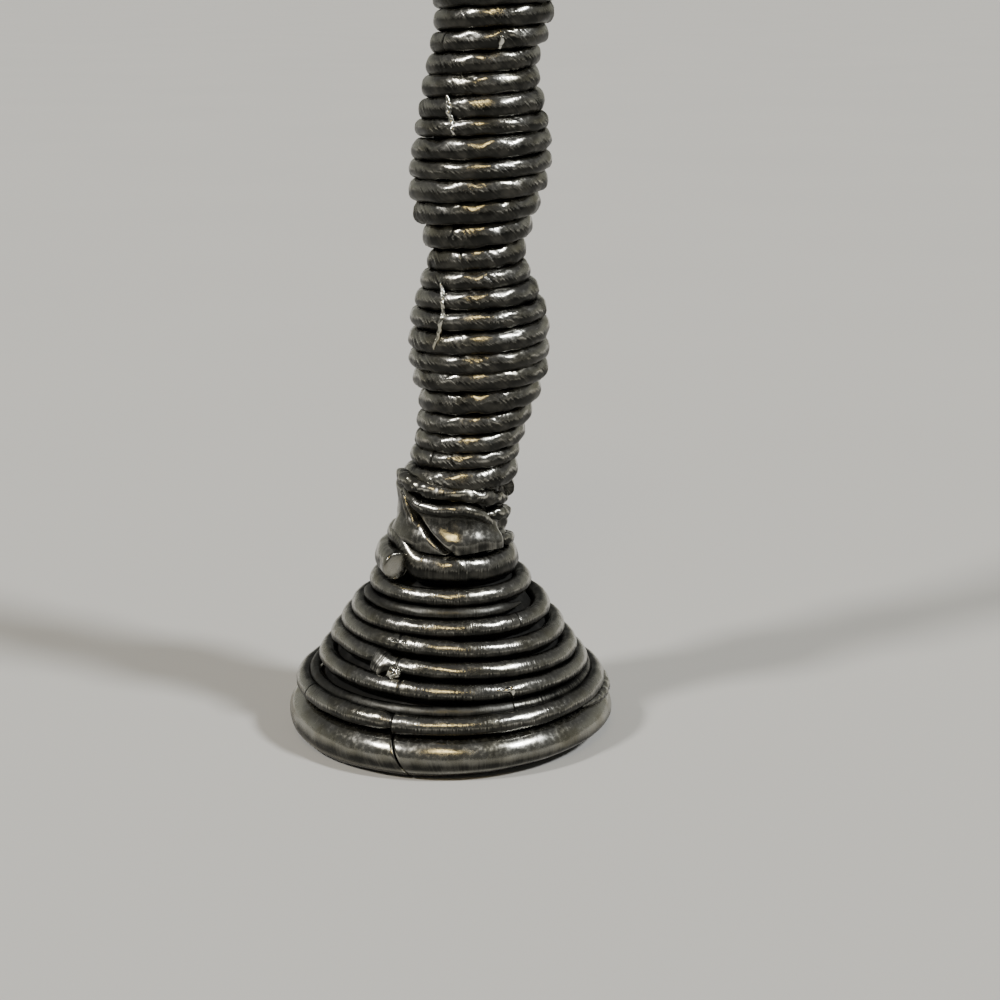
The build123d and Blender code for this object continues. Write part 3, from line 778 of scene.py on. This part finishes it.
band_turns = np.arange(BAND_COLUMNS)[None, :] / BAND_COLUMNS - 0.5
band_heights = np.linspace(BAND_BOTTOM, BAND_TOP, BAND_ROWS)[:, None]
uneven = 0.25 * ripples(around(BAND_RADIUS, band_turns, 0.0), 14, 204)
band_heights = band_heights + uneven * np.linspace(-1, 1, BAND_ROWS)[:, None]
outer = band_radius(360 * band_turns, band_heights)
worn = outer - softened(outer, 9)
tipped = -np.gradient(outer, axis=0) * BAND_ROWS / (BAND_TOP - BAND_BOTTOM)  # above 0 where it faces up
inner = around(BAND_INSIDE, band_turns, band_heights[[-1, 0]], BAND_LEAN)
grid = np.concatenate([around(outer, band_turns, band_heights, BAND_LEAN), inner])
side = np.arange(BAND_COLUMNS)[None, :]
row = np.arange(BAND_ROWS + 2)[:, None]
next_row = (row + 1) % (BAND_ROWS + 2)
next_side = (side + 1) % BAND_COLUMNS
corners = [row * BAND_COLUMNS + side, row * BAND_COLUMNS + next_side]
corners += [next_row * BAND_COLUMNS + next_side, next_row * BAND_COLUMNS + side]
band_faces = np.stack(np.broadcast_arrays(*corners), -1).reshape(-1, 4).tolist()
flat = np.ones(grid.shape[:2])
# The band's mark: worn ridges are rubbed bright and, as painted shade, faces tipped up are lighter and faces
# tipped down darker.
lit = np.concatenate([np.clip(0.10 + 0.8 * worn + 1.2 * np.clip(tipped, -0.6, 0.6), -1, 1), -flat[:2]])
marks = {"along": 360 * band_turns * 0.2 * flat, "proud": lit}
band_metal = rubbed_and_shaded_wire("band_metal", RUBBED_GREY, 0.0, 1.0, rib=1.2, rib_depth=0.03, dark_gloss=0.22)
make_piece("neck_band", grid, band_faces, marks, band_metal, "oxidised_metal", "neck_band")

CAUGHT_ENDS = [  # azimuth, height, radius and half thickness along each; how rough and how twisted it is
    (
        [
            (-78, 60.4, 11.3, 1.3),
            (-55, 60.0, 12.0, 1.7),
            (-22, 58.7, 12.3, 1.6),
            (20, 57.6, 12.4, 1.6),
            (48, 56.2, 12.3, 1.6),
            (75, 54.8, 11.9, 1.2),
        ],
        0.05,
        0.07,
    ),
    (
        [
            (-60, 57.3, 11.6, 0.9),
            (-42, 55.8, 12.4, 1.3),
            (-28, 54.7, 12.7, 1.5),
            (-8, 54.4, 12.9, 1.6),
            (11, 54.4, 13.0, 1.6),
            (25, 53.5, 12.9, 1.5),
            (37, 51.8, 12.8, 1.2),
            (46, 50.0, 12.5, 0.6),
        ],
        0.02,
        0.0,
    ),
    (
        [(40, 52.6, 12.2, 0.9), (54, 52.3, 12.6, 1.4), (72, 51.6, 12.3, 1.5), (92, 51.0, 11.8, 1.2)],
        0.06,
        0.0,
    ),
    (
        [(58, 46.2, 12.4, 0.9), (70, 45.6, 12.9, 1.3), (84, 45.0, 12.8, 1.4), (104, 44.6, 12.0, 1.2)],
        0.06,
        0.0,
    ),
]


def joined(strands):
    """Several tubes, each a grid with its marks, as the points, faces and marks of one piece."""
    faces, count = [], 0
    for grid, _ in strands:
        faces += tube_faces(*grid.shape[:2], first=count)
        count += grid.shape[0] * grid.shape[1]
    points = np.concatenate([grid.reshape(-1, 3) for grid, _ in strands])
    names = strands[0][1]
    marks = {name: np.concatenate([found[name].ravel() for _, found in strands]) for name in names}
    return points, faces, marks


strands = [
    strand_skin(stations, rough, 210 + 3 * index, BAND_LEAN, twist=twist)
    for index, (stations, rough, twist) in enumerate(CAUGHT_ENDS)
]
ends_metal = rubbed_and_shaded_wire("ends_metal", RUBBED_GREY, 0.5, 0.85, rib=0.6, rib_depth=0.03, combed=0.5)
make_piece("caught_ends", *joined(strands), ends_metal, "oxidised_metal")

# The stem winding
# Four lengths of wire, butted on one seam at the front left, wind up the beaded stem to the cup.
# The turns are laid by hand, so they rise and sink a little against each other.
STEM_SEAT = 46.052
STEM_FRONT_TURN = 14.1
OUTLINE = np.array(
    [
        (0, 12.9, 0.3), (8, 12.9, 1.2), (14, 13, 2.5), (20, 12.2, 4), (27, 12.7, 5.4), (32, 13.5, 6.7),
        (37, 15.5, 6.7), (43, 15.9, 6.7), (50, 15.4, 6.9), (57, 13.3, 6.6), (64.5, 10.9, 6.3), (71, 13.2, 6),
        (78, 15.3, 6.5), (86.5, 15.4, 7.6), (96, 13.9, 7.7), (105, 12.3, 7.9), (111, 12.6, 9.4),
        (117, 13.2, 10.4), (126, 15.3, 11), (134, 14.4, 11.2), (142.5, 12.2, 11.2), (149.75, 15.225, 11.2),
        (157, 18.25, 11.2), (183.4, 20.25, 11.2),
    ]
)  # height above the seat, outer radius, lean
UNEVEN = np.array(
    [
        (-1, 0), (0.5, 0.7), (1.5, 0), (2.5, -0.2), (3.5, -0.2), (4.5, 0.5), (5.5, 0.45), (6.5, 0.2),
        (7.5, 0.45), (8.5, 0), (9.5, -0.45), (10.5, -0.8), (11.5, -0.05), (12.5, 0.5), (13.5, 0.9),
        (14.5, 1.0), (15.5, 0.4), (16.5, 0.5), (17.5, -0.3), (19, 0), (36, 0),
    ]
)  # turn, and how far the hand-laid winding is above an even one there


def outline_at(height):
    """Outer radius and lean at a height above the seat."""
    return [through(OUTLINE[:, 0], OUTLINE[:, column], height) for column in (1, 2)]


def uneven_at(turns):
    """How far the winding is above an even one at a turn."""
    return through(UNEVEN[:, 0], UNEVEN[:, 1], turns)


def stem_place(turns):
    """A spiral of one pitch that follows the outline and the lean, laid a little unevenly."""
    height = STEM_FRONT_TURN + PITCH * turns
    radius, lean = outline_at(height)
    lift = uneven_at(turns) + 0.16 * drift(turns, 0.8, 61)
    inset = 0.12 * np.abs(drift(turns, 0.5, 62))
    return around(radius - WIRE_HALF - inset, turns, STEM_SEAT + height + lift, lean)


def stem_half(seed):
    """A hand-wound section that is as high as the step from each turn to the next, so that they touch."""

    def half_at(distance, angle, turns):
        above = STEM_FRONT_TURN + PITCH * (turns + 0.5)
        widening = outline_at(above)[0] - outline_at(above - PITCH)[0]
        rise = PITCH + uneven_at(turns + 0.5) - uneven_at(turns - 0.5)
        high = np.hypot(rise, widening) / (2 * WIRE_HALF)
        return hand_wound(WIRE_HALF, seed, STEM_TILT, 0.94, high, 0.042, 0.032)(distance, angle, turns)

    return half_at


stem_metal = rubbed_and_shaded_wire(
    "stem_metal", RUBBED_GREY, 0.54, 0.94, rib=0.9, rib_depth=0.06, gloss=0.18, mottle=0.6, combed=0.6
)
STEM_TURNS = [-0.75, 7.9083, 17.9083, 27.9083, 35.995]
SEAM_RADIUS = 10.2  # about that of the wire's line at the seams
STEM_SLIT = 0.15 / (2 * math.pi * SEAM_RADIUS)
STEM_TILT = 14
# The rubbing is turned well up, so each turn's lower half is painted dark: painted shade besides the patina
# in the grooves.
STEM_RUB_AND_SHADE_TILT = 50
STEM_SHEAR = 0.78  # the lean of its cross marks
STEM_NICKS = [(0.897, 1, 0), (10.958, 1, -0.9), (11.93, 0.8, 0.7), (20.858, 1.2, 0.3)]  # turn, depth, slant
for index, name in enumerate(["stem_coil_lower", "stem_coil_middle", "stem_coil_upper", "cup_coil"]):
    first = STEM_TURNS[index] + (STEM_SLIT if index else 0)
    last = STEM_TURNS[index + 1] - (STEM_SLIT if index < 3 else 0)
    section = stem_half(70 + 10 * index)
    grid, marks = wire_skin(stem_place, first, last, section, STEM_RUB_AND_SHADE_TILT, STEM_NICKS, shear=STEM_SHEAR)
    tube_piece(name, grid, marks, stem_metal, "oxidised_metal", name)

# The rim ring and its filler
# A thick ring of bar, butted like the foot's, ends the winding round the cup's flange. Thin wire lies in
# the wedge between it and the last turn.
RIM_HALF = 3.0
RIM_RADIUS = 17.25
RIM_HEIGHT = 229.452
RIM_LEAN = 11.2
WINDING_TOP = 177.875


def rim_place(turns):
    """A level circle about the leaning stem's top."""
    return around(RIM_RADIUS, turns, RIM_HEIGHT + 0 * turns, RIM_LEAN)


def rim_half(distance, angle, turns):
    """A round section with shallow dents."""
    dents = 0.006 * flats(distance, angle, 16, 111) + 0.008 * drift(distance, 40, 112)
    return RIM_HALF * (1 - np.abs(dents))


RIM_SLIT = 0.15 / (2 * math.pi * RIM_RADIUS)
# tilt=45 turns the rubbing up, so the rim's lower side is painted dark as painted shade.
grid, marks = wire_skin(
    rim_place, SEAM_TURN + RIM_SLIT, SEAM_TURN + 1 - RIM_SLIT, rim_half, tilt=45, sides=36
)
rim_metal = rubbed_and_shaded_wire("rim_metal", RUBBED_GREY, -0.3, 0.3, rib=0.8, rib_depth=0.03)
tube_piece("rim_ring", grid, marks, rim_metal, "oxidised_metal", "rim_ring")

FILLER_HEIGHT = WINDING_TOP + WIRE_HALF - FILLER_HALF
FILLER_RADIUS = float(outline_at(np.array(FILLER_HEIGHT))[0]) - FILLER_HALF


def rim_filler_place(turns):
    """A level circle on the last turn."""
    return around(FILLER_RADIUS, turns, STEM_SEAT + FILLER_HEIGHT + 0 * turns, RIM_LEAN)


FILLER_GAP = 2.0  # from the winding's end to the filler's
FILLER_ROOM = 3.1  # height that the wedge needs before the filler goes into it
filler_start = STEM_TURNS[-1] + FILLER_GAP / (2 * math.pi * FILLER_RADIUS)
filler_end = STEM_TURNS[-1] + 1 - FILLER_ROOM / PITCH
grid, marks = wire_skin(rim_filler_place, filler_start, filler_end, hand_wound(FILLER_HALF, 121))
tube_piece("rim_filler", grid, marks, wire_metal, "oxidised_metal", "rim_filler")

# The candle cup
# A spun metal cup stands in the core's top, its flange inside the rim ring. Old flames have smoked its wall,
# and its flange is scuffed by candles.
CUP_LEAN = 0.0112
CUP_DEEP = 0.206
CUP_MOUTH = 0.2307
CUP_SMOKED = (0.028, 0.024, 0.020, 1)
CUP_BARE = (0.34, 0.33, 0.30, 1)


def turned(tree, lean, spacing):
    """Fine rings, spacing metres apart, about an upright axis at x = lean and up it, as a lathe leaves
    them."""
    place = tree.node("ShaderNodeTexCoord", output=3)
    shift = {"Vector": place, "Location": (-lean, 0, 0), "Scale": (1, 1, 0)}
    level = tree.node("ShaderNodeMapping", {}, shift)
    radius = tree.node("ShaderNodeVectorMath", {"operation": "LENGTH"}, {0: level}, output=1)
    height = tree.node("ShaderNodeSeparateXYZ", {}, {0: place}, output=2)
    run = (radius + height) * (2 * math.pi / spacing) + speckle(tree, 0.002) * 3.0
    return tree.node("ShaderNodeMath", {"operation": "SINE"}, {0: run}), height


cup_metal, tree = new_finish("cup_metal")
rings, height = turned(tree, CUP_LEAN, 0.0007)
smoke = height + (speckle(tree, 0.004) - 0.5) * 0.012
bare = smoke.between(CUP_DEEP + 0.008, CUP_MOUTH)
show(
    tree,
    {
        "Base Color": bare.colours(CUP_SMOKED, CUP_BARE),
        "Roughness": bare.between(0, 1, 0.55, 0.3) + speckle(tree, 0.0008).between(0.4, 0.7, 0, 0.1),
        "Metallic": 1.0,
    },
    bump=rings * 0.5 + speckle(tree, 0.0006),
    bump_depth=0.00002,
)
dress("candle_cup", cup_metal)

# The screws and the washer
# Turned steel, dull with age: a countersunk screw in the cup's floor, and a pan-head one under the base that
# pulls the base up to the stem through a washer.
STEEL_GREY = (0.40, 0.40, 0.41, 1)
STEEL_DULL = (0.13, 0.115, 0.10, 1)

for nodes, lean in [(["cup_screw"], CUP_LEAN), (["base_screw", "base_washer"], 0.0)]:
    screw_steel, tree = new_finish("screw_steel_" + nodes[0])
    rings, height = turned(tree, lean, 0.0004)
    age = speckle(tree, 0.0015, 4.0).between(0.42, 0.66)
    show(
        tree,
        {
            "Base Color": age.colours(STEEL_GREY, STEEL_DULL),
            "Roughness": age.between(0, 1, 0.28, 0.55),
            "Metallic": 1.0,
        },
        bump=rings * 0.4 + speckle(tree, 0.0005),
        bump_depth=0.000015,
    )
    for node in nodes:
        dress(node, screw_steel)

# The felt
# A disc of black wool felt, cut out with a knife. It is glued under the base core, inside the foot ring,
# and closes the underside.
FELT_RADIUS = 27.04
FELT_BOTTOM = 0.8
FELT_TOP = 2.2
FELT_EDGE = 0.5  # how far its edge is rounded
FELT_COLUMNS = 360


def felt_skin():
    """A thin disc about the upright axis: its profile goes out along the top, over a rounded edge and back
    under the bottom. The knife's edge wanders, and the wool lies in shallow tufts."""
    flat_part = np.linspace(0.01, 1, 40) * (FELT_RADIUS - FELT_EDGE)
    bend = np.linspace(np.pi / 2, -np.pi / 2, 11)
    middle = (FELT_TOP + FELT_BOTTOM) / 2
    thick = (FELT_TOP - FELT_BOTTOM) / 2
    edge = FELT_RADIUS - FELT_EDGE + FELT_EDGE * np.cos(bend)
    radius = np.concatenate([flat_part, edge, flat_part[::-1]])[:, None]
    over = np.full(flat_part.shape, FELT_TOP)
    beneath = np.full(flat_part.shape, FELT_BOTTOM)
    height = np.concatenate([over, middle + thick * np.sin(bend), beneath])
    turns = np.arange(FELT_COLUMNS)[None, :] / FELT_COLUMNS
    wander = 1 - 0.004 * np.abs(ripples(around(FELT_RADIUS, turns, 0.0), 12, 401))
    tufts = 0.06 * np.abs(ripples(around(radius, turns, 0.0), 2.4, 402))
    under = (height < middle)[:, None]
    return around(radius * wander, turns, height[:, None] + np.where(under, tufts, -tufts))


FELT_BLACK = (0.010, 0.010, 0.011, 1)
FELT_DUSTY = (0.040, 0.038, 0.036, 1)
felt_wool, tree = new_finish("felt_wool")
fibres = speckle(tree, 0.00035, 5.0, (1, 2.2, 1)) * 0.6 + speckle(tree, 0.0003, 5.0, (2.4, 1, 1)) * 0.6
dust = fibres.between(0.5, 0.8) * speckle(tree, 0.006).between(0.3, 0.7)
show(
    tree,
    {"Base Color": dust.colours(FELT_BLACK, FELT_DUSTY), "Roughness": 0.95, "Sheen Weight": 0.3},
    bump=fibres,
    bump_depth=0.0002,
)
grid = felt_skin()
felt = tube_piece("felt_pad", grid, {}, felt_wool, "felt", "felt_pad")

# The solder
# Where lengths of wire meet, bright soft solder was dropped: pitted beads on the base, and twisted strands
# down the stem's seam that bridge two or three turns.
SOLDER_BRIGHT = (0.60, 0.59, 0.54, 1)
solder_metal = rubbed_and_shaded_wire("solder_metal", SOLDER_BRIGHT, -0.5, 0.4, rib=0.7, rib_depth=0.06, gloss=0.16)


def pitted(grid, depth, size, seed):
    """A skin with pits about size across: each point moves to or from its row's middle by a share depth."""
    middle = grid.mean(1, keepdims=True)
    return middle + (grid - middle) * (1 + depth * ripples(grid, size, seed)[..., None])


SOLDER_PITS = 1.0  # times the run's roughness
SOLDER_PIT_SIZE = 1.1


def solder_piece(name, runs, node):
    """One piece from several runs of solder, each its stations, roughness, lean and twist."""
    strands = []
    for index, (stations, rough, lean, twist) in enumerate(runs):
        seed = 300 + 7 * index + len(name)
        grid, marks = strand_skin(stations, rough, seed, lean, sides=32, step=0.12, twist=twist)
        strands.append((pitted(grid, SOLDER_PITS * rough, SOLDER_PIT_SIZE, seed + 5), marks))
    make_piece(name, *joined(strands), solder_metal, "solder", node)


BASE_SOLDER = [  # azimuth, height, radius and half thickness along each bead
    [(-25.6, 22.6, 27.7, 0.6), (-25, 22.1, 28.1, 1.0), (-24.5, 21.3, 28.6, 1.5), (-24, 20.5, 28.9, 1.1)],
    [(26.4, 18.5, 30.3, 0.5), (27.0, 17.7, 30.75, 0.75), (27.6, 16.7, 30.9, 0.45), (27.8, 15.9, 30.8, 0.15)],
    [(20.5, 18.1, 30.45, 0.25), (23.5, 18.1, 30.6, 0.45), (26.6, 18.1, 30.7, 0.5)],
    [(-31, 27.2, 24.3, 0.3), (-29, 27.1, 24.6, 0.55), (-27, 27.0, 24.4, 0.3)],
    [(-24.5, 27.1, 24.4, 0.3), (-22.5, 27.0, 24.6, 0.6), (-20.5, 26.7, 24.6, 0.3)],
]
solder_piece("base_tacks", [(stations, 0.10, 0, 0) for stations in BASE_SOLDER], "base_tacks")


def stem_surface(azimuth, height):
    """The winding's outside radius and lean at an azimuth and a height: round turns with shallow grooves."""
    radius, lean = outline_at(height - STEM_SEAT)
    turns = (height - STEM_SEAT - STEM_FRONT_TURN) / PITCH
    turns = turns - uneven_at(turns) / PITCH
    off = ((turns - azimuth / 360 + 0.5) % 1 - 0.5) * PITCH
    round_turn = np.sqrt(np.maximum(WIRE_HALF**2 - off**2, (0.8 * WIRE_HALF) ** 2))
    return radius - WIRE_HALF + round_turn, lean


def laid_on_stem(path):
    """Stations of a strand that is laid on the winding along a path of azimuth, height and half thickness."""
    path = np.array(path, float)
    share = np.linspace(0, 1, 24)
    knots = np.linspace(0, 1, len(path))
    azimuth, height, half = (through(knots, path[:, column], share) for column in range(3))
    radius, lean = stem_surface(azimuth, height)
    return np.stack([azimuth, height, radius + 0.1 * half, half], 1), lean


STEM_SOLDER = [  # azimuth, height and half thickness along each strand
    [(-34, 144.2, 0.3), (-31, 142.0, 0.55), (-28, 140.0, 0.6), (-25.5, 138.0, 0.5), (-24, 136.4, 0.3)],
    [
        (-38, 104.4, 0.25), (-34.5, 102.2, 0.5), (-32, 99.6, 0.45), (-32.5, 96.5, 0.5),
        (-34.5, 93.2, 0.45), (-38, 90.6, 0.25),
    ],
    [(11.5, 156.4, 0.35), (13, 155.2, 0.6), (13.5, 153.9, 0.3)],
]
runs = []
for path in STEM_SOLDER:
    stations, lean = laid_on_stem(path)
    runs.append((stations, 0.03, lean, 0.13))
solder_piece("stem_tacks", runs, "stem_tacks")

# The floor and the light
# A wide pale floor and a plain studio: two white lamps overhead, at the left and the right, and a weak
# golden one between them. The sky is dark overhead and in front, and paler behind.
FLOOR_PALE = (0.64, 0.63, 0.60, 1)
FLOOR_SIDE = 40.0

floor_finish, tree = new_finish("floor_pale")
clouds = speckle(tree, 0.25, 2.0)
show(
    tree,
    {
        "Base Color": clouds.colours(FLOOR_PALE, [c * 0.94 for c in FLOOR_PALE[:3]] + [1]),
        "Roughness": 0.85,
    },
)
corners = FLOOR_SIDE * np.array([(-1, -1, 0), (1, -1, 0), (1, 1, 0), (-1, 1, 0)])
floor_mesh = bpy.data.meshes.new("floor")
floor_mesh.from_pydata(corners.tolist(), [], [(0, 1, 2, 3)])
floor_mesh.materials.append(floor_finish)
floor = bpy.data.objects.new("floor", floor_mesh)
bpy.context.scene.collection.objects.link(floor)

LAMPS = [  # towards the lamp, strength, width in degrees, colour
    ((-0.59, -0.39, 0.707), 2.0, 8, (1.0, 0.98, 0.95)),
    ((0.63, -0.32, 0.707), 2.6, 8, (0.97, 0.99, 1.0)),
    ((-0.05, -0.705, 0.707), 0.4, 14, (1.0, 0.78, 0.36)),
]
for index, (towards, strength, width, colour) in enumerate(LAMPS):
    lamp = bpy.data.lights.new(f"lamp_{index}", "SUN")
    lamp.energy = strength
    lamp.angle = math.radians(width)
    lamp.color = colour
    light = bpy.data.objects.new(f"lamp_{index}", lamp)
    away = -np.array(towards)
    light.rotation_euler = (
        math.atan2(math.hypot(away[0], away[1]), -away[2]),
        0,
        math.atan2(away[1], away[0]) - math.pi / 2,
    )
    bpy.context.scene.collection.objects.link(light)

SKY_FRONT = (0.14, 0.14, 0.13, 1)
SKY_LEFT = (0.34, 0.34, 0.30, 1)  # behind, at the left
SKY_RIGHT = (0.33, 0.33, 0.29, 1)
SKY_OVERHEAD = (0.10, 0.10, 0.10, 1)
BACKDROP = (0.50, 0.495, 0.475, 1)  # what the camera itself sees beyond the floor
world = bpy.data.worlds.new("studio")
world.use_nodes = True
world.node_tree.nodes.clear()
tree = Tone(world.node_tree)
way = tree.node("ShaderNodeTexCoord", output=0)
right, back, high = (tree.node("ShaderNodeSeparateXYZ", {}, {0: way}, output=axis) for axis in range(3))
behind = right.between(-0.6, 0.6).colours(SKY_LEFT, SKY_RIGHT)
level = back.between(-0.45, 0.55).colours(SKY_FRONT, behind)
sky = high.between(0.08, 0.6).colours(level, SKY_OVERHEAD)
seen = tree.node("ShaderNodeLightPath", output=0)
glow = tree.node("ShaderNodeBackground", {}, {"Color": seen.colours(sky, BACKDROP), "Strength": 1.0})
tree.node("ShaderNodeOutputWorld", {}, {"Surface": glow})
bpy.context.scene.world = world
